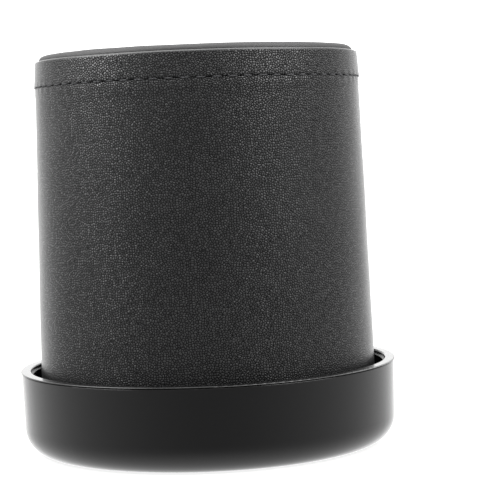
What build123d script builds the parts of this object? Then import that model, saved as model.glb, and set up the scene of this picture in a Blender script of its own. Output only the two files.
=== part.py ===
from build123d import *
import os

# A leather-covered dice cup that stands mouth down in its round plastic tray.
# Millimetres. The origin is the centre of the tray's underside, +Z is up, and every piece is
# centred on the Z axis.

# Driving dimensions.
TRAY_HEIGHT = 22.5
TRAY_LIP_RADIUS = 51.0
CUP_HEIGHT = 103.5
CUP_MOUTH_RADIUS = 45.87
CUP_TAPER = 0.0231  # radius lost for each millimetre of height above the mouth

# Tray, injection moulded.
LIP_WIDTH = 2.74
LIP_HEIGHT = 0.3
LIP_OVERHANG = 0.3
LIP_OUTER_ROUNDING = 0.25
LIP_INNER_ROUNDING = 0.35
GROOVE_HEIGHT = 0.15
GROOVE_DEPTH = 0.4
SHOULDER_ROUNDING = 0.35
LEDGE_DEPTH = 1.3
LEDGE_WIDTH = 0.5
TRAY_DRAFT = 0.3
FOOT_ROUNDING = 7.2
TRAY_FLOOR = 2.4
FLOOR_CORNER_ROUNDING = 0.7
FELT = 1.2
PAD_GAP = 0.8

# Cup wall, from the outside in.
LEATHER = 1.0
CORE_WALL = 1.8
LINING = 0.8
HEM_DEPTH = 10.0
MOUTH_ROUNDING = 0.9

# Closed end.
BAND_HEIGHT = 6.65
BAND_STEP = 0.3
BAND_LEAN = 0.45
BAND_EDGE_ROUNDING = 0.5
BAND_FOLD_RADIUS = 40.0
END_THICKNESS = 2.0
COVER_RISE = 1.7
COVER_SETBACK = 1.1
COVER_ROUNDING = 1.5

# Stitched seam between the side leather and the band.
SEAM_GAP = 0.4
STITCH_COUNT = 69
STITCH_SHARE = 0.62
STITCH_PROUD = 0.05

# Levels and radii that follow from them.
PAD_TOP = TRAY_FLOOR + FELT
CUP_TOP = PAD_TOP + CUP_HEIGHT
BAND_TOP = CUP_TOP - COVER_RISE
SEAM_LEVEL = BAND_TOP - BAND_HEIGHT
CORE_TOP = BAND_TOP - LEATHER
CORE_MOUTH = PAD_TOP + LEATHER
CEILING = CORE_TOP - END_THICKNESS
LINING_TOP = CEILING - LINING
HEM_TOP = PAD_TOP + HEM_DEPTH
TRAY_INNER_RADIUS = TRAY_LIP_RADIUS - LIP_WIDTH
LEDGE_RADIUS = TRAY_INNER_RADIUS - LEDGE_WIDTH
TRAY_FLOOR_RADIUS = LEDGE_RADIUS - TRAY_DRAFT
TRAY_WALL_RADIUS = TRAY_LIP_RADIUS - LIP_OVERHANG
TRAY_FOOT_RADIUS = TRAY_WALL_RADIUS - TRAY_DRAFT
GROOVE_RADIUS = TRAY_WALL_RADIUS - GROOVE_DEPTH
GROOVE_TOP = TRAY_HEIGHT - LIP_HEIGHT
SHOULDER_LEVEL = GROOVE_TOP - GROOVE_HEIGHT


def cup_radius(level, depth=0.0):
    """Radius of the tapering cup wall at a level, a depth below its leather face."""
    return CUP_MOUTH_RADIUS - CUP_TAPER * (level - PAD_TOP) - depth


def corner(section, radius, level):
    """The corner of a section that stands nearest to a radius and a level."""
    return section.vertices().sort_by_distance((radius, level, 0))[0]


CORE_DEPTH = LEATHER
LINING_DEPTH = LEATHER + CORE_WALL
HEM_FACE_DEPTH = LINING_DEPTH + LEATHER
BORE_DEPTH = LINING_DEPTH + LINING
BAND_TOP_RADIUS = cup_radius(SEAM_LEVEL) + BAND_STEP - BAND_LEAN
COVER_RADIUS = BAND_TOP_RADIUS - COVER_SETBACK


# Tray: one moulding with a rounded foot, a thin lip over a narrow groove and a rounded shoulder,
# and a ledge inside the rim.
with BuildPart() as tray_shell:
    with BuildSketch(Plane.XZ) as section:
        with BuildLine():
            Polyline(
                (0, 0),
                (TRAY_FOOT_RADIUS, 0),
                (TRAY_FOOT_RADIUS, FOOT_ROUNDING),
                (TRAY_WALL_RADIUS, SHOULDER_LEVEL),
                (GROOVE_RADIUS, SHOULDER_LEVEL),
                (GROOVE_RADIUS, GROOVE_TOP),
                (TRAY_LIP_RADIUS, GROOVE_TOP),
                (TRAY_LIP_RADIUS, TRAY_HEIGHT),
                (TRAY_INNER_RADIUS, TRAY_HEIGHT),
                (TRAY_INNER_RADIUS, TRAY_HEIGHT - LEDGE_DEPTH),
                (LEDGE_RADIUS, TRAY_HEIGHT - LEDGE_DEPTH),
                (TRAY_FLOOR_RADIUS, TRAY_FLOOR),
                (0, TRAY_FLOOR),
                close=True,
            )
        make_face()
        fillet(corner(section, TRAY_FOOT_RADIUS, 0), FOOT_ROUNDING * 0.99)
        fillet(corner(section, TRAY_WALL_RADIUS, SHOULDER_LEVEL), SHOULDER_ROUNDING)
        fillet(corner(section, TRAY_LIP_RADIUS, TRAY_HEIGHT), LIP_OUTER_ROUNDING)
        fillet(corner(section, TRAY_INNER_RADIUS, TRAY_HEIGHT), LIP_INNER_ROUNDING)
        fillet(corner(section, TRAY_FLOOR_RADIUS, TRAY_FLOOR), FLOOR_CORNER_ROUNDING)
    revolve(axis=Axis.Z)

# Felt pad glued to the tray's floor, which the cup stands on.
with BuildPart() as tray_pad:
    with BuildSketch(Plane.XY.offset(TRAY_FLOOR)):
        Circle(TRAY_FLOOR_RADIUS - PAD_GAP)
    extrude(amount=FELT)

# Core: a stiff moulded cup, open below, that every cover and lining is glued to.
with BuildPart() as cup_core:
    with BuildSketch(Plane.XZ) as section:
        with BuildLine():
            Polyline(
                (cup_radius(CORE_MOUTH, CORE_DEPTH), CORE_MOUTH),
                (cup_radius(CORE_TOP, CORE_DEPTH), CORE_TOP),
                (0, CORE_TOP),
                (0, CEILING),
                (cup_radius(CEILING, LINING_DEPTH), CEILING),
                (cup_radius(CORE_MOUTH, LINING_DEPTH), CORE_MOUTH),
                close=True,
            )
        make_face()
    revolve(axis=Axis.Z)

# Side leather: wraps the core from the seam down and turns in round the mouth as a hem.
with BuildPart() as side_wrap:
    with BuildSketch(Plane.XZ) as section:
        with BuildLine():
            Polyline(
                (cup_radius(PAD_TOP), PAD_TOP),
                (cup_radius(SEAM_LEVEL - SEAM_GAP), SEAM_LEVEL - SEAM_GAP),
                (cup_radius(SEAM_LEVEL - SEAM_GAP, CORE_DEPTH), SEAM_LEVEL - SEAM_GAP),
                (cup_radius(CORE_MOUTH, CORE_DEPTH), CORE_MOUTH),
                (cup_radius(CORE_MOUTH, LINING_DEPTH), CORE_MOUTH),
                (cup_radius(HEM_TOP, LINING_DEPTH), HEM_TOP),
                (cup_radius(HEM_TOP, HEM_FACE_DEPTH), HEM_TOP),
                (cup_radius(PAD_TOP, HEM_FACE_DEPTH), PAD_TOP),
                close=True,
            )
        make_face()
        fillet(corner(section, cup_radius(PAD_TOP), PAD_TOP), MOUTH_ROUNDING)
        fillet(corner(section, cup_radius(PAD_TOP, HEM_FACE_DEPTH), PAD_TOP), MOUTH_ROUNDING)
    revolve(axis=Axis.Z)

# Band: a separate strip round the closed end, proud at its lower edge, leaning in towards
# the top and folded flat over the end of the core.
with BuildPart() as end_band:
    with BuildSketch(Plane.XZ) as section:
        with BuildLine():
            Polyline(
                (cup_radius(SEAM_LEVEL, CORE_DEPTH), SEAM_LEVEL),
                (cup_radius(SEAM_LEVEL) + BAND_STEP, SEAM_LEVEL),
                (BAND_TOP_RADIUS, BAND_TOP),
                (BAND_FOLD_RADIUS, BAND_TOP),
                (BAND_FOLD_RADIUS, CORE_TOP),
                (cup_radius(CORE_TOP, CORE_DEPTH), CORE_TOP),
                close=True,
            )
        make_face()
        fillet(corner(section, BAND_TOP_RADIUS, BAND_TOP), BAND_EDGE_ROUNDING)
        fillet(
            corner(section, cup_radius(SEAM_LEVEL) + BAND_STEP, SEAM_LEVEL),
            BAND_STEP,
        )
    revolve(axis=Axis.Z)

# Seam stitches: dashes of thread in the gap between the side leather and the band.
stitch_pitch = 360 / STITCH_COUNT
with BuildPart() as one_stitch:
    with BuildSketch(Plane.XZ) as section:
        with BuildLine():
            Polyline(
                (cup_radius(SEAM_LEVEL - SEAM_GAP, CORE_DEPTH), SEAM_LEVEL - SEAM_GAP),
                (cup_radius(SEAM_LEVEL) + STITCH_PROUD, SEAM_LEVEL - SEAM_GAP),
                (cup_radius(SEAM_LEVEL) + STITCH_PROUD, SEAM_LEVEL),
                (cup_radius(SEAM_LEVEL, CORE_DEPTH), SEAM_LEVEL),
                close=True,
            )
        make_face()
    revolve(axis=Axis.Z, revolution_arc=stitch_pitch * STITCH_SHARE)

with BuildPart() as seam_stitches:
    with PolarLocations(0, STITCH_COUNT):
        add(one_stitch.part)

# End board: the stiff disc inside the band's fold that lifts the end cover.
with BuildPart() as end_board:
    with BuildSketch(Plane.XY.offset(CORE_TOP)):
        Circle(BAND_FOLD_RADIUS)
    extrude(amount=CUP_TOP - LEATHER - CORE_TOP)

# End cover: a leather disc formed over the board, its rim glued down on the band's fold.
with BuildPart() as end_cover:
    with BuildSketch(Plane.XZ) as section:
        with BuildLine():
            Polyline(
                (0, CUP_TOP - LEATHER),
                (BAND_FOLD_RADIUS, CUP_TOP - LEATHER),
                (BAND_FOLD_RADIUS, BAND_TOP),
                (COVER_RADIUS, BAND_TOP),
                (COVER_RADIUS, CUP_TOP),
                (0, CUP_TOP),
                close=True,
            )
        make_face()
        fillet(corner(section, COVER_RADIUS, CUP_TOP), COVER_ROUNDING)
    revolve(axis=Axis.Z)

# Side lining: felt on the inside of the core's wall, above the hem.
with BuildPart() as side_lining:
    with BuildSketch(Plane.XZ):
        with BuildLine():
            Polyline(
                (cup_radius(HEM_TOP, LINING_DEPTH), HEM_TOP),
                (cup_radius(CEILING, LINING_DEPTH), CEILING),
                (cup_radius(CEILING, BORE_DEPTH), CEILING),
                (cup_radius(HEM_TOP, BORE_DEPTH), HEM_TOP),
                close=True,
            )
        make_face()
    revolve(axis=Axis.Z)

# End lining: the felt disc on the inside of the closed end.
with BuildPart() as end_lining:
    with BuildSketch(Plane.XY.offset(LINING_TOP)):
        Circle(cup_radius(CEILING, BORE_DEPTH))
    extrude(amount=LINING)

# Each piece is written to a file of its own, named after the piece.
pieces = {
    "tray_shell": tray_shell.part,
    "tray_pad": tray_pad.part,
    "cup_core": cup_core.part,
    "side_wrap": side_wrap.part,
    "end_band": end_band.part,
    "seam_stitches": seam_stitches.part,
    "end_board": end_board.part,
    "end_cover": end_cover.part,
    "side_lining": side_lining.part,
    "end_lining": end_lining.part,
}

os.makedirs("parts", exist_ok=True)
for name, piece in pieces.items():
    piece.label = name
    export_step(piece, f"parts/{name}.step")
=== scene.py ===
import math

import bmesh
import bpy
from mathutils import Matrix, Vector, noise


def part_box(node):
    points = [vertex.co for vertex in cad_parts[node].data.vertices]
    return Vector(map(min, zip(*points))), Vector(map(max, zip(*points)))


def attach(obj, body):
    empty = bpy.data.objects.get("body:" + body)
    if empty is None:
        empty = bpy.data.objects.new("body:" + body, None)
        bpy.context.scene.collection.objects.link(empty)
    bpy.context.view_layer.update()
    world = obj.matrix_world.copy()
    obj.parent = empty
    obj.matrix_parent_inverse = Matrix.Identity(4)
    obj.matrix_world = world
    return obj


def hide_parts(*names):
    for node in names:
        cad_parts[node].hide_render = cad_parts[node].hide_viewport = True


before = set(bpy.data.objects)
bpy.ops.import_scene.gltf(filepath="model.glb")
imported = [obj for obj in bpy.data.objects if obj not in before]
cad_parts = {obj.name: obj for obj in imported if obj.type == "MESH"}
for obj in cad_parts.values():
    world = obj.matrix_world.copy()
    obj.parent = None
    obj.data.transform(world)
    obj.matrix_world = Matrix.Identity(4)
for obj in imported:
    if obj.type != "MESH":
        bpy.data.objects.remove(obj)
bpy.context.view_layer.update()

# A leather-covered dice cup standing mouth down in its black plastic tray. The hard pieces come
# from the frame; the leather, felt and thread are built here round the same axis, in metres.

scene = bpy.context.scene

MM = 0.001
TURN = 2 * math.pi
BACK = math.pi / 2

# Levels and radii read from the frame.
wrap_low, wrap_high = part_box("side_wrap")
band_low, band_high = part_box("end_band")
cover_low, cover_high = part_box("end_cover")
lining_low, lining_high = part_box("side_lining")
ceiling_low, ceiling_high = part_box("end_lining")
pad_low, pad_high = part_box("tray_pad")
board_low, board_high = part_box("end_board")
tray_low, tray_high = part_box("tray_shell")
PAD_TOP = wrap_low[2]
GAP_LEVEL = wrap_high[2]
SEAM_LEVEL = band_low[2]
BAND_TOP = band_high[2]
CORE_TOP = board_low[2]
CUP_TOP = cover_high[2]
HEM_TOP = lining_low[2]
LINING_TOP = lining_high[2]
MOUTH_RADIUS = wrap_high[0]
COVER_RADIUS = cover_high[0]
FOLD_RADIUS = board_high[0]

# Thicknesses and details of the soft pieces.
LEATHER = 1.0 * MM
CORE_WALL = 1.8 * MM
FELT_LINING = 0.8 * MM
BAND_STEP = 0.3 * MM
BAND_LEAN = 0.45 * MM
JOINT_GAP = 0.2 * MM
STITCHES = 69
STITCH_LENGTH = 2.7 * MM
STRAND_RADIUS = 0.13 * MM
COLUMNS = STITCHES * 12

SEAM_RADIUS = band_high[0] - BAND_STEP
TAPER = (MOUTH_RADIUS - SEAM_RADIUS) / (SEAM_LEVEL - PAD_TOP)
BAND_TOP_RADIUS = band_high[0] - BAND_LEAN
LINING_DEPTH = LEATHER + CORE_WALL
HEM_DEPTH = LINING_DEPTH + LEATHER
BORE_DEPTH = LINING_DEPTH + FELT_LINING


def wall_radius(level, depth=0.0):
    """Radius of the cup's tapering wall at a level, a depth below its leather face."""
    return MOUTH_RADIUS - TAPER * (level - PAD_TOP) - depth


def fade(distance, reach):
    """1 at no distance, falling smoothly to 0 at a reach."""
    share = min(1.0, max(0.0, abs(distance) / reach))
    return 1 - share * share * (3 - 2 * share)


def lumps(radius, level, angle, size, seed):
    """Smooth noise from -1 to 1 round the cup, with lumps of a size."""
    place = Vector((radius * math.cos(angle), radius * math.sin(angle), level))
    return noise.noise(place / size + Vector((seed, seed, seed)))


def pinch(angle):
    """1 at the middle of a stitch and 0 half way between two."""
    return 0.5 + 0.5 * math.cos(STITCHES * angle)


def seam_pull(angle, edge_distance):
    """How far in the stitches pull the leather, at a distance from its edge in the seam."""
    depth = 0.14 * MM
    reach = 1.4 * MM
    return (pinch(angle) - 0.5) * fade(edge_distance, reach) * depth


def seam_creep(angle, edge_distance):
    """How far the edge of the leather creeps into the seam, most between two stitches."""
    least = 0.06 * MM
    swing = 0.04 * MM
    reach = 0.9 * MM
    return (least + (1 - pinch(angle)) * swing) * fade(edge_distance, reach)


def joint_dip(radius, angle, joint, reach, depth):
    """How far the two ends of a strip dip where they meet, fading out on both sides."""
    return fade(radius * math.remainder(angle - joint, TURN), reach) * depth


# Outlines and turned meshes.

ARC_STEPS = 6


def rounded(before, corner, after, rounding):
    """The points of an arc that rounds a corner of an outline."""
    corner = Vector(corner)
    back = (Vector(before) - corner).normalized()
    ahead = (Vector(after) - corner).normalized()
    half = back.angle(ahead) / 2
    centre = corner + (back + ahead).normalized() * rounding / math.sin(half)
    start = corner + back * rounding / math.tan(half) - centre
    end = corner + ahead * rounding / math.tan(half) - centre
    sweep = start.angle_signed(end)
    turns = [Matrix.Rotation(-sweep * step / ARC_STEPS, 2) for step in range(ARC_STEPS + 1)]
    return [tuple(centre + turn @ start) for turn in turns]


def outline(corners, spacing, closed=True):
    """Points along an outline of (radius, level, rounding) corners, no further apart than a spacing."""
    count = len(corners)
    bends = []
    for index, (radius, level, rounding) in enumerate(corners):
        if rounding:
            before = corners[index - 1][:2]
            after = corners[(index + 1) % count][:2]
            bends.append(rounded(before, (radius, level), after, rounding))
        else:
            bends.append([(radius, level)])
    points = []
    for index, bend in enumerate(bends):
        points.extend(bend)
        if index == count - 1 and not closed:
            break
        start = Vector(bend[-1])
        end = Vector(bends[(index + 1) % count][0])
        steps = math.ceil((end - start).length / spacing)
        points.extend(tuple(start.lerp(end, step / steps)) for step in range(1, steps))
    return points


def finished(name, vertices, faces, look, body):
    """A smooth-shaded piece with its material, riding on a body; points that coincide are joined."""
    mesh = bpy.data.meshes.new(name)
    mesh.from_pydata(vertices, [], faces)
    shape = bmesh.new()
    shape.from_mesh(mesh)
    bmesh.ops.remove_doubles(shape, verts=shape.verts, dist=0.0001 * MM)
    bmesh.ops.recalc_face_normals(shape, faces=shape.faces)
    shape.to_mesh(mesh)
    shape.free()
    mesh.shade_smooth()
    mesh.materials.append(look)
    piece = bpy.data.objects.new(name, mesh)
    scene.collection.objects.link(piece)
    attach(piece, body)
    return piece


def turned(name, profile, look, body, shape, closed=False, joint=None):
    """A piece turned about the Z axis. With a joint angle it is a strip whose two ends meet there.

    Shape moves each point: it takes a radius, level and angle, and returns a radius and level.
    """
    gap = JOINT_GAP / profile[0][0] if joint is not None else 0.0
    first = (joint or 0.0) + gap / 2
    rings = COLUMNS + 1 if joint is not None else COLUMNS
    vertices = []
    for ring in range(rings):
        angle = first + (TURN - gap) * ring / COLUMNS
        for radius, level in profile:
            new_radius, new_level = shape(radius, level, angle)
            vertices.append((new_radius * math.cos(angle), new_radius * math.sin(angle), new_level))
    rows = len(profile)
    faces = []
    for ring in range(COLUMNS):
        here = ring * rows
        beside = (ring + 1) % rings * rows
        for row in range(rows if closed else rows - 1):
            above = (row + 1) % rows
            faces.append((here + row, beside + row, beside + above, here + above))
    if joint is not None:
        faces.append(tuple(range(rows)))
        faces.append(tuple(range(COLUMNS * rows, (COLUMNS + 1) * rows)))
    return finished(name, vertices, faces, look, body)


# Materials.


class Look:
    """A node material under construction; sizes of its patterns are in metres."""

    def __init__(self, name):
        self.material = bpy.data.materials.new(name)
        self.material.use_nodes = True
        self.tree = self.material.node_tree
        self.shader = self.tree.nodes["Principled BSDF"]
        self.place = self.add("TexCoord", {}).outputs["Object"]

    def add(self, kind, inputs, **settings):
        node = self.tree.nodes.new("ShaderNode" + kind)
        for setting, value in settings.items():
            setattr(node, setting, value)
        for socket, value in inputs.items():
            self.feed(node.inputs[socket], value)
        return node

    def feed(self, socket, value):
        if isinstance(value, bpy.types.NodeSocket):
            self.tree.links.new(value, socket)
        else:
            socket.default_value = value

    def shade(self, **inputs):
        for socket, value in inputs.items():
            self.feed(self.shader.inputs[socket.replace("_", " ")], value)

    def noise(self, size, detail=2.0, place=None, distortion=0.0):
        inputs = {
            "Vector": place or self.place,
            "Scale": 1 / size,
            "Detail": detail,
            "Distortion": distortion,
        }
        return self.add("TexNoise", inputs).outputs["Fac"]

    def cells(self, size, place, feature, spread=3):
        """Cells of a size on a surface or through a solid: distance from their edges or middles."""
        return self.cell_node(size, place, feature, spread).outputs["Distance"]

    def cell_chance(self, size, place):
        """A chance value for each cell on a surface."""
        colour = self.cell_node(size, place, "F1", 2).outputs["Color"]
        return self.add("SeparateColor", {"Color": colour}).outputs["Red"]

    def cell_node(self, size, place, feature, spread):
        inputs = {"Vector": place, "Scale": 1 / size}
        return self.add("TexVoronoi", inputs, feature=feature, voronoi_dimensions=f"{spread}D")

    def rescale(self, value, low, high, new_low, new_high):
        """A value's span from low to high, moved smoothly to a new span."""
        inputs = {
            "Value": value,
            "From Min": low,
            "From Max": high,
            "To Min": new_low,
            "To Max": new_high,
        }
        node = self.add("MapRange", inputs, interpolation_type="SMOOTHSTEP")
        return node.outputs["Result"]

    def math(self, operation, first, second):
        node = self.add("Math", {0: first, 1: second}, operation=operation)
        return node.outputs["Value"]

    def vector(self, operation, first, second):
        node = self.add("VectorMath", {0: first, 1: second}, operation=operation)
        return node.outputs["Vector"]

    def wobbled(self, place, size, amount):
        """A place moved about by noise, so that a pattern on it is irregular."""
        shift = self.add("TexNoise", {"Vector": self.place, "Scale": 1 / size}).outputs["Color"]
        centred = self.vector("SUBTRACT", shift, (0.5, 0.5, 0.5))
        return self.vector("ADD", place, self.vector("MULTIPLY", centred, (amount, amount, amount)))

    def split(self):
        """The place as three numbers and its distance from the cup's axis."""
        parts = self.add("SeparateXYZ", {"Vector": self.place}).outputs
        flat = self.vector("MULTIPLY", self.place, (1.0, 1.0, 0.0))
        radius = self.add("VectorMath", {0: flat}, operation="LENGTH").outputs["Value"]
        return parts["X"], parts["Y"], parts["Z"], radius

    def tint(self, share, dark, light):
        """A colour from dark to light by a share."""
        node = self.add("Mix", {}, data_type="RGBA")
        factor, first, second = node.inputs[0], node.inputs[6], node.inputs[7]
        for socket, value in ((factor, share), (first, (*dark, 1)), (second, (*light, 1))):
            self.feed(socket, value)
        return node.outputs[2]

    def bump(self, height, depth, strength=1.0, under=None):
        """Relief of a depth in metres, on top of another relief."""
        inputs = {"Height": height, "Distance": depth, "Strength": strength}
        if under is not None:
            inputs["Normal"] = under
        return self.add("Bump", inputs).outputs["Normal"]


def wrapped(look):
    """Place on the leather round the cup, laid flat: along from the front, and up or inwards."""
    x, y, level, radius = look.split()
    angle = look.math("ARCTAN2", x, look.math("MULTIPLY", y, -1.0))
    along = look.math("MULTIPLY", angle, SEAM_RADIUS)
    up = look.math("SUBTRACT", level, radius)
    return look.add("CombineXYZ", {"X": along, "Y": up}).outputs["Vector"]


def formed(look):
    """Place on leather formed over the closed end, laid flat as a disc."""
    x, y, level = look.split()[:3]
    turned_down = look.math("SUBTRACT", CUP_TOP, level)
    growth = look.math("ADD", look.math("DIVIDE", turned_down, COVER_RADIUS), 1.0)
    flat = {"X": look.math("MULTIPLY", x, growth), "Y": look.math("MULTIPLY", y, growth)}
    return look.add("CombineXYZ", flat).outputs["Vector"]


def leather_look(name, laid_flat, relief, shine, hiding):
    """Black grained leather: glossy pebbles, dull pits between them painted darker as shade, polished
    at a fold.

    Shine is the roughness of the pebbles' tops, and hiding is how much of the pits the pebbles
    hide where the leather is seen at a glancing angle.
    """
    pebble = 0.64 * MM
    pit_width = 0.34
    patch_size = 22 * MM
    crease_size = 4 * MM
    crease_depth = 0.015 * MM
    fold_start = BAND_TOP - 0.9 * MM
    fold_end = BAND_TOP - 0.2 * MM
    look = Look(name)
    place = look.wobbled(laid_flat(look), 8 * pebble, 0.6 * pebble)
    to_edge = look.cells(pebble, place, "DISTANCE_TO_EDGE", 2)
    edges = look.rescale(to_edge, 0.0, pit_width, 0.0, 1.0)
    uneven = look.rescale(look.cell_chance(pebble, place), 0.0, 1.0, 0.7, 1.0)
    grain = look.math("MULTIPLY", edges, uneven)
    dome = look.cells(pebble, place, "F1", 2)
    fold = look.rescale(look.split()[2], fold_start, fold_end, 0.0, 0.75)
    grazing = look.add("LayerWeight", {"Blend": 0.5}).outputs["Facing"]
    hidden_pits = look.rescale(grazing, 0.25, 0.95, 0.0, hiding)
    tops = look.math("MAXIMUM", look.math("MAXIMUM", grain, fold), hidden_pits)
    patches = look.noise(patch_size, detail=2)
    height = look.math("SUBTRACT", tops, look.math("MULTIPLY", dome, 0.5))
    # The pits are painted darker than the pebbles' tops. This is painted shade where shade falls
    # between the pebbles, which the shallow bump does not cast.
    tone_and_pit_shade = look.math("MULTIPLY", tops, look.rescale(patches, 0.3, 0.7, 0.8, 1.0))
    creases = look.bump(look.noise(crease_size, detail=1), crease_depth)
    look.shade(
        Base_Color=look.tint(tone_and_pit_shade, (0.0012, 0.0012, 0.0013), (0.0155, 0.0155, 0.016)),
        Roughness=look.rescale(tops, 0.0, 1.0, 0.6, shine),
        Specular_IOR_Level=look.rescale(tops, 0.0, 1.0, 0.05, 0.75),
        Normal=look.bump(height, relief, 1.0, under=creases),
    )
    return look.material


def felt_look(name, dark, light):
    """Short napped felt: matted fibres, a soft sheen and specks of lighter fibre."""
    fibre_size = 0.5 * MM
    tuft_size = 1.6 * MM
    look = Look(name)
    matted = look.noise(fibre_size, detail=5, distortion=1.5)
    tufts = look.cells(tuft_size, look.wobbled(look.place, 2 * MM, 1.2 * MM), "SMOOTH_F1")
    fibres = look.rescale(matted, 0.35, 0.7, 0.2, 1.0)
    shade = look.math("MULTIPLY", fibres, look.rescale(tufts, 0.0, 0.9, 1.0, 0.6))
    soft = look.bump(tufts, 0.25 * MM, 0.4)
    look.shade(
        Base_Color=look.tint(shade, dark, light),
        Roughness=0.95,
        Specular_IOR_Level=0.15,
        Sheen_Weight=0.5,
        Sheen_Roughness=0.5,
        Normal=look.bump(matted, 0.3 * MM, 0.9, under=soft),
    )
    return look.material


def tray_look():
    """Black injection-moulded plastic: satin gloss, faint flow ripple and hairline handling marks."""
    look = Look("tray_plastic")
    ripple = look.noise(6 * MM, detail=1)
    skin = look.noise(0.25 * MM, detail=2)
    drawn_out = look.vector("MULTIPLY", look.place, (1.0, 1.0, 14.0))
    marks = look.noise(0.6 * MM, detail=6, place=drawn_out, distortion=0.8)
    worn = look.rescale(marks, 0.62, 0.8, 0.0, 1.0)
    even_gloss = look.rescale(skin, 0.3, 0.7, 0.16, 0.22)
    gloss = look.math("ADD", even_gloss, look.math("MULTIPLY", worn, 0.16))
    relief = look.bump(ripple, 0.03 * MM, 0.6)
    look.shade(
        Base_Color=look.tint(worn, (0.002, 0.002, 0.0021), (0.008, 0.008, 0.0084)),
        Roughness=gloss,
        Normal=look.bump(skin, 0.006 * MM, 0.7, under=relief),
    )
    return look.material


def thread_look():
    """Black waxed thread: fibres along the strands and a dull shine."""
    look = Look("thread")
    fibres = look.noise(0.12 * MM, detail=4, distortion=0.5)
    look.shade(
        Base_Color=look.tint(fibres, (0.012, 0.012, 0.013), (0.04, 0.04, 0.043)),
        Roughness=look.rescale(fibres, 0.3, 0.7, 0.4, 0.65),
        Normal=look.bump(fibres, 0.04 * MM, 0.8),
    )
    return look.material


def core_look():
    """Matte moulded plastic with a fine grain and flow marks."""
    look = Look("core_plastic")
    grain = look.noise(0.4 * MM, detail=3)
    flow = look.noise(14 * MM, detail=2, distortion=1.0)
    look.shade(
        Base_Color=look.tint(flow, (0.03, 0.03, 0.032), (0.05, 0.05, 0.053)),
        Roughness=look.rescale(grain, 0.3, 0.7, 0.5, 0.7),
        Normal=look.bump(grain, 0.03 * MM, 0.6),
    )
    return look.material


def board_look():
    """Pressed grey-brown board with flecks of fibre."""
    look = Look("board")
    flecks = look.noise(0.8 * MM, detail=5, distortion=1.0)
    look.shade(
        Base_Color=look.tint(flecks, (0.28, 0.22, 0.16), (0.45, 0.37, 0.28)),
        Roughness=0.9,
        Normal=look.bump(flecks, 0.08 * MM, 0.7),
    )
    return look.material


# Leather pieces.


def side_wrap(look):
    """The side leather: bulges at the seam, turns in round the mouth and butts together at the back."""
    mouth_rounding = 0.45 * MM
    edge_rounding = 0.4 * MM
    corners = [
        (wall_radius(PAD_TOP), PAD_TOP, 2 * mouth_rounding),
        (wall_radius(GAP_LEVEL), GAP_LEVEL, 0.25 * MM),
        (wall_radius(GAP_LEVEL, LEATHER), GAP_LEVEL, 0),
        (wall_radius(PAD_TOP, LEATHER), PAD_TOP + LEATHER, 0),
        (wall_radius(PAD_TOP, LINING_DEPTH), PAD_TOP + LEATHER, 0),
        (wall_radius(HEM_TOP, LINING_DEPTH), HEM_TOP, 0),
        (wall_radius(HEM_TOP, HEM_DEPTH), HEM_TOP, edge_rounding),
        (wall_radius(PAD_TOP, HEM_DEPTH), PAD_TOP, mouth_rounding),
    ]

    def shape(radius, level, angle):
        depth = wall_radius(level) - radius
        outer = fade(depth, 0.9 * LEATHER)
        below = GAP_LEVEL - level
        swell = fade(below - 1.6 * MM, 1.8 * MM) * 0.1 * MM
        pull = seam_pull(angle, below)
        ends = joint_dip(wall_radius(level), angle, BACK, 0.8 * MM, 0.3 * MM)
        glued = lumps(radius, level, angle, 11 * MM, 3.0) * 0.07 * MM
        return radius + outer * (swell - pull - ends + glued), level + seam_creep(angle, below)

    piece = turned("side_leather", outline(corners, 1.6 * MM), look, "cup", shape, True, BACK)
    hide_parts("side_wrap")


def end_band(look):
    """The band: rolled at its lower edge, puckered by the stitches, folded over the closed end."""
    joint = BACK + math.radians(7)
    corners = [
        (SEAM_RADIUS + BAND_STEP, SEAM_LEVEL, 0.25 * MM),
        (BAND_TOP_RADIUS, BAND_TOP, 0.55 * MM),
        (FOLD_RADIUS, BAND_TOP, 0),
        (FOLD_RADIUS, CORE_TOP, 0),
        (wall_radius(CORE_TOP, LEATHER), CORE_TOP, 0),
        (wall_radius(SEAM_LEVEL, LEATHER), SEAM_LEVEL, 0),
    ]

    def shape(radius, level, angle):
        outer = fade(wall_radius(level) - radius, 0.9 * LEATHER)
        above = level - SEAM_LEVEL
        pull = seam_pull(angle, above)
        drop = seam_creep(angle, above)
        ends = joint_dip(SEAM_RADIUS, angle, joint, 0.8 * MM, 0.3 * MM)
        glued = lumps(radius, level, angle, 8 * MM, 9.0) * 0.06 * MM
        uneven = lumps(radius, 0.0, angle, 16 * MM, 5.0) * fade(BAND_TOP - level, 3 * MM) * 0.08 * MM
        return radius + outer * (glued - pull - ends), level - drop + uneven * outer

    piece = turned("band_leather", outline(corners, 0.7 * MM), look, "cup", shape, True, joint)
    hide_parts("end_band")


def end_cover(look):
    """The end cover: a leather disc formed over the board, with a soft uneven edge."""
    corners = [
        (0, CUP_TOP - LEATHER, 0),
        (FOLD_RADIUS, CUP_TOP - LEATHER, 0),
        (FOLD_RADIUS, BAND_TOP, 0),
        (COVER_RADIUS, BAND_TOP, 0),
        (COVER_RADIUS, CUP_TOP, 1.5 * MM),
        (0, CUP_TOP, 0),
    ]

    def shape(radius, level, angle):
        rim = fade(COVER_RADIUS - radius, 4 * MM)
        wander = lumps(COVER_RADIUS, 0.0, angle, 14 * MM, 2.0) * 0.22 * MM
        glued = lumps(radius, level, angle, 9 * MM, 6.0) * 0.07 * MM
        skin = fade(CUP_TOP - level, 0.9 * LEATHER) * glued
        crown = fade(COVER_RADIUS - radius, 9 * MM) * fade(CUP_TOP - level, 2 * MM) * 0.2 * MM
        return radius + rim * (wander - 0.1 * MM), level + skin - crown

    piece = turned("end_leather", outline(corners, 1.2 * MM, closed=False), look, "cup", shape)
    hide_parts("end_cover")


# Felt pieces.


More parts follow.
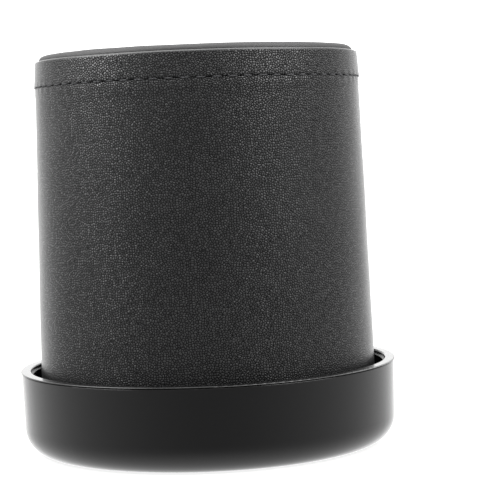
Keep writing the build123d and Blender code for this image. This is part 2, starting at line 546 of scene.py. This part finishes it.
def felt_disc(name, node, radius, low, high, body, look, press):
    """A felt disc with a soft cut edge; press moves its upper face at a radius."""
    soft = 0.3 * (high - low)
    corners = [(0, low, 0), (radius, low, soft), (radius, high, soft), (0, high, 0)]

    def shape(reach, level, angle):
        upper = (level - low) / (high - low)
        frayed = fade(radius - reach, 2 * MM) * lumps(radius, level, angle, 1.5 * MM, 4.0) * 0.12 * MM
        nap = lumps(reach, level, angle, 5 * MM, 8.0) * 0.05 * MM
        return reach + frayed, level + upper * (nap + press(reach))

    piece = turned(name, outline(corners, 1.2 * MM, closed=False), look, body, shape)
    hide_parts(node)


def side_lining(look):
    """The felt inside the wall: a strip with soft edges that meet at the back."""
    soft = 0.3 * MM
    corners = [
        (wall_radius(HEM_TOP, LINING_DEPTH), HEM_TOP, 0),
        (wall_radius(LINING_TOP, LINING_DEPTH), LINING_TOP, 0),
        (wall_radius(LINING_TOP, BORE_DEPTH), LINING_TOP, soft),
        (wall_radius(HEM_TOP, BORE_DEPTH), HEM_TOP, soft),
    ]

    def shape(radius, level, angle):
        inner = fade(radius - wall_radius(level, BORE_DEPTH), 0.9 * FELT_LINING)
        ends = joint_dip(radius, angle, BACK, 1.0 * MM, 0.25 * MM)
        nap = lumps(radius, level, angle, 6 * MM, 1.0) * 0.1 * MM
        frayed = fade(level - HEM_TOP, 1.5 * MM) * lumps(radius, level, angle, 2 * MM, 7.0) * 0.15 * MM
        return radius + inner * (ends + nap), level + frayed * inner

    piece = turned("wall_felt", outline(corners, 1.6 * MM), look, "cup", shape, True, BACK)
    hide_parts("side_lining")


def unpressed(reach):
    """The felt at the closed end is not pressed down at any radius."""
    return 0.0


def trodden(reach):
    """The tray pad's pile stands up except where the cup's mouth presses it down."""
    ring = (wall_radius(PAD_TOP) + wall_radius(PAD_TOP, HEM_DEPTH)) / 2
    return -0.16 * MM * fade(reach - ring, 3.2 * MM)


# Thread.


def stitch_strand(angle, half_length, turn, sides=8, steps=14):
    """One of the two strands of a stitch: a tube's vertices and faces, diving in at both ends."""
    middle = (GAP_LEVEL + SEAM_LEVEL) / 2
    proud = 0.1 * MM
    dive = 0.6 * MM
    from_middle = 0.1 * MM
    half_twist = 4.4
    rings = []
    for step in range(steps + 1):
        share = 2 * step / steps - 1
        here = angle + share * half_length / SEAM_RADIUS
        twist = turn + half_twist * share
        stitch_radius = SEAM_RADIUS + proud - dive * abs(share) ** 4
        radius = stitch_radius + from_middle * math.cos(twist)
        level = middle + from_middle * math.sin(twist)
        ring = []
        for side in range(sides):
            round_it = TURN * side / sides
            out = radius + STRAND_RADIUS * math.cos(round_it)
            up = level + STRAND_RADIUS * math.sin(round_it)
            ring.append((out * math.cos(here), out * math.sin(here), up))
        rings.append(ring)
    vertices = [vertex for ring in rings for vertex in ring]
    faces = []
    for step in range(steps):
        for side in range(sides):
            beside = (side + 1) % sides
            here = step * sides
            ahead = here + sides
            faces.append((here + side, here + beside, ahead + beside, ahead + side))
    faces.append(tuple(range(sides)))
    faces.append(tuple(range(steps * sides, (steps + 1) * sides)))
    return vertices, faces


def seam_stitches(look):
    """The row of two-ply stitches in the seam, each a little different in length and place."""
    wander = 0.3 * MM
    unevenness = 0.15
    vertices = []
    faces = []
    for stitch in range(STITCHES):
        chance = noise.noise(Vector((stitch * 1.7, 0.3, 0.9)))
        angle = TURN * stitch / STITCHES + chance * wander / SEAM_RADIUS
        half_length = STITCH_LENGTH / 2 * (1 + unevenness * chance)
        for turn in (0.0, math.pi):
            new_vertices, new_faces = stitch_strand(angle, half_length, turn + 3 * chance)
            faces.extend(tuple(corner + len(vertices) for corner in face) for face in new_faces)
            vertices.extend(new_vertices)
    piece = finished("seam_thread", vertices, faces, look, "cup")
    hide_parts("seam_stitches")


# The object.

leather = leather_look("black_leather", wrapped, relief=0.05 * MM, shine=0.24, hiding=0.75)
end_leather = leather_look("end_leather", formed, relief=0.035 * MM, shine=0.62, hiding=0.15)
felt = felt_look("felt", (0.006, 0.006, 0.007), (0.045, 0.045, 0.049))

side_wrap(leather)
end_band(leather)
end_cover(end_leather)
seam_stitches(thread_look())
side_lining(felt)
ceiling = (ceiling_high[0], ceiling_high[2], ceiling_low[2])
felt_disc("ceiling_felt", "end_lining", *ceiling, "cup", felt, unpressed)
pad = (pad_high[0], pad_low[2], pad_high[2])
felt_disc("tray_felt", "tray_pad", *pad, "tray", felt, trodden)

carried_over = {"tray_shell": tray_look(), "cup_core": core_look(), "end_board": board_look()}
for node, look in carried_over.items():
    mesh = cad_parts[node].data
    mesh.materials.clear()
    mesh.materials.append(look)

# Floor, studio light and camera.


def floor():
    """A wide pale table top under the tray."""
    reach = 6.0
    level = tray_low[2]
    corners = [(-reach, -reach), (reach, -reach), (reach, reach), (-reach, reach)]
    mesh = bpy.data.meshes.new("floor")
    mesh.from_pydata([(x, y, level) for x, y in corners], [], [(0, 1, 2, 3)])
    look = Look("floor")
    clouds = look.noise(0.4, detail=2)
    look.shade(
        Base_Color=look.tint(clouds, (0.25, 0.25, 0.25), (0.28, 0.28, 0.28)),
        Roughness=0.7,
        Emission_Color=(1, 1, 1, 1),
        Emission_Strength=0.85,
    )
    mesh.materials.append(look.material)
    piece = bpy.data.objects.new("floor", mesh)
    piece.visible_glossy = False
    scene.collection.objects.link(piece)


def studio():
    """Soft white surroundings: dim in front of the object, brighter round it, above and below."""
    # Brightness at the sides, and what each direction adds to it.
    sides = 0.84
    front_to_back = 0.56
    behind = 0.7
    narrowness = 10.0
    above_and_below = 0.63
    above = 0.95
    world = bpy.data.worlds.new("studio")
    scene.world = world
    world.use_nodes = True
    tree = world.node_tree

    def calculate(operation, *terms):
        node = tree.nodes.new("ShaderNodeMath")
        node.operation = operation
        for socket, term in zip(node.inputs, terms):
            if isinstance(term, bpy.types.NodeSocket):
                tree.links.new(term, socket)
            else:
                socket.default_value = term
        return node.outputs["Value"]

    place = tree.nodes.new("ShaderNodeTexCoord").outputs["Generated"]
    split = tree.nodes.new("ShaderNodeSeparateXYZ")
    tree.links.new(place, split.inputs["Vector"])
    slope = calculate("MULTIPLY_ADD", split.outputs["Y"], front_to_back, sides)
    far = calculate("POWER", calculate("MAXIMUM", split.outputs["Y"], 0.0), narrowness)
    round_it = calculate("MULTIPLY_ADD", far, behind, slope)
    height = calculate("MULTIPLY", split.outputs["Z"], split.outputs["Z"])
    up = calculate("MAXIMUM", split.outputs["Z"], 0.0)
    both = calculate("MULTIPLY_ADD", height, above_and_below, round_it)
    strength = calculate("MULTIPLY_ADD", calculate("MULTIPLY", up, up), above, both)
    background = tree.nodes["Background"]
    background.inputs["Color"].default_value = (1, 1, 1, 1)
    tree.links.new(strength, background.inputs["Strength"])


def softbox(name, bearing, reach, height, size, power):
    """A square light aimed at the middle of the cup, its bearing in degrees right of the front."""
    light = bpy.data.lights.new(name, "AREA")
    light.size = size
    light.energy = power
    lamp = bpy.data.objects.new(name, light)
    turn = math.radians(bearing)
    place = Vector((reach * math.sin(turn), -reach * math.cos(turn), height))
    aim = Vector((0, 0, CUP_TOP / 2)) - place
    lamp.rotation_euler = aim.to_track_quat("-Z", "Y").to_euler()
    lamp.location = place
    lamp.visible_camera = False
    scene.collection.objects.link(lamp)


def camera():
    """A long lens a little above the tray, slightly rolled."""
    aside = 0.27 * MM
    distance = 484.2 * MM
    height = 82.1 * MM
    focal_length = 127.9
    # Angles in radians.
    yaw = 0.0255
    dip = 0.061
    roll = -0.0388
    ahead = Vector((math.sin(yaw) * math.cos(dip), math.cos(yaw) * math.cos(dip), -math.sin(dip)))
    level = Vector((math.cos(yaw), -math.sin(yaw), 0))
    over = level.cross(ahead)
    right = level * math.cos(roll) + over * math.sin(roll)
    up = over * math.cos(roll) - level * math.sin(roll)
    lens = bpy.data.cameras.new("camera")
    lens.lens = focal_length
    lens.clip_start = 0.01
    eye = bpy.data.objects.new("camera", lens)
    turn = Matrix((right, up, -ahead)).transposed()
    eye.matrix_world = Matrix.Translation((aside, -distance, height)) @ turn.to_4x4()
    scene.collection.objects.link(eye)
    scene.camera = eye


floor()
studio()
softbox("overhead", bearing=180, reach=0.15, height=1.1, size=1.0, power=6.0)
softbox("left", bearing=-72, reach=0.28, height=0.26, size=0.26, power=1.25)
softbox("right", bearing=58, reach=0.28, height=0.26, size=0.26, power=1.1)
softbox("front", bearing=-10, reach=0.3, height=0.4, size=0.25, power=0.5)
camera()
scene.view_settings.view_transform = "Standard"
